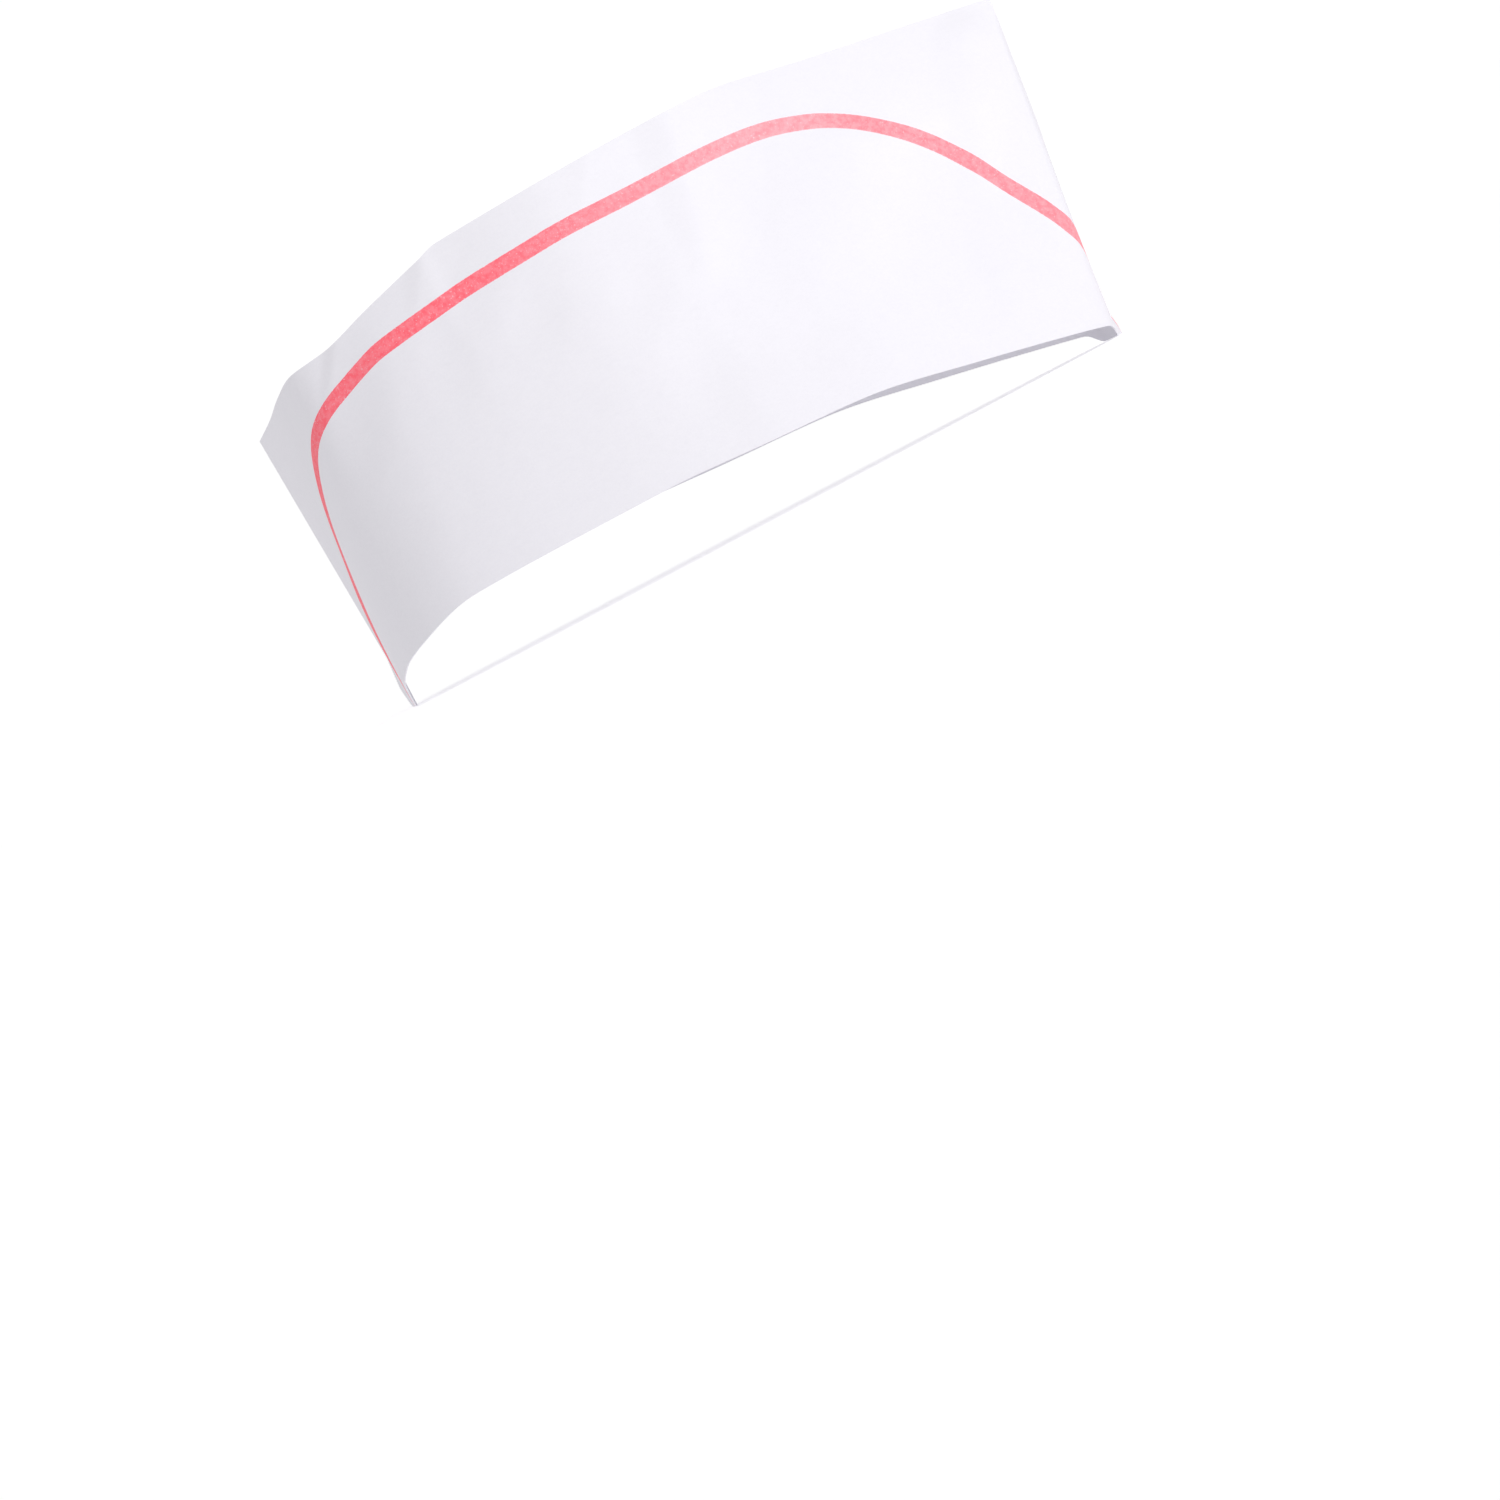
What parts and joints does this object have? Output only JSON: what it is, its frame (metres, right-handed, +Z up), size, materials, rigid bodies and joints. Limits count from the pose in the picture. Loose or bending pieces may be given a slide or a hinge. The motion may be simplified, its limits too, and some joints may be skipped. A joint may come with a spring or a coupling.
{
  "type": "paper soda jerk hat",
  "caption": "White paper forage cap with a red printed stripe: two side panels that meet at a front and a back seam, and a crown folded down between their upper edges.",
  "frame": {"origin": "on the floor under the middle of the hat's length, in its seam plane", "axes": "+X to the front of the hat, +Y to the wearer's left, +Z up"},
  "size_m": [0.2123, 0.148, 0.1004],
  "materials": {
    "printed_paper": "matt uncoated bond paper with a fine grain, printed with one coral red stripe 4.3 mm wide",
    "plain_paper": "matt uncoated bond paper with a fine grain"
  },
  "bodies": {
    "root": {"right_side_panel": "printed_paper", "left_side_panel": "printed_paper", "crown_fold": "plain_paper"}
  },
  "joints": []
}
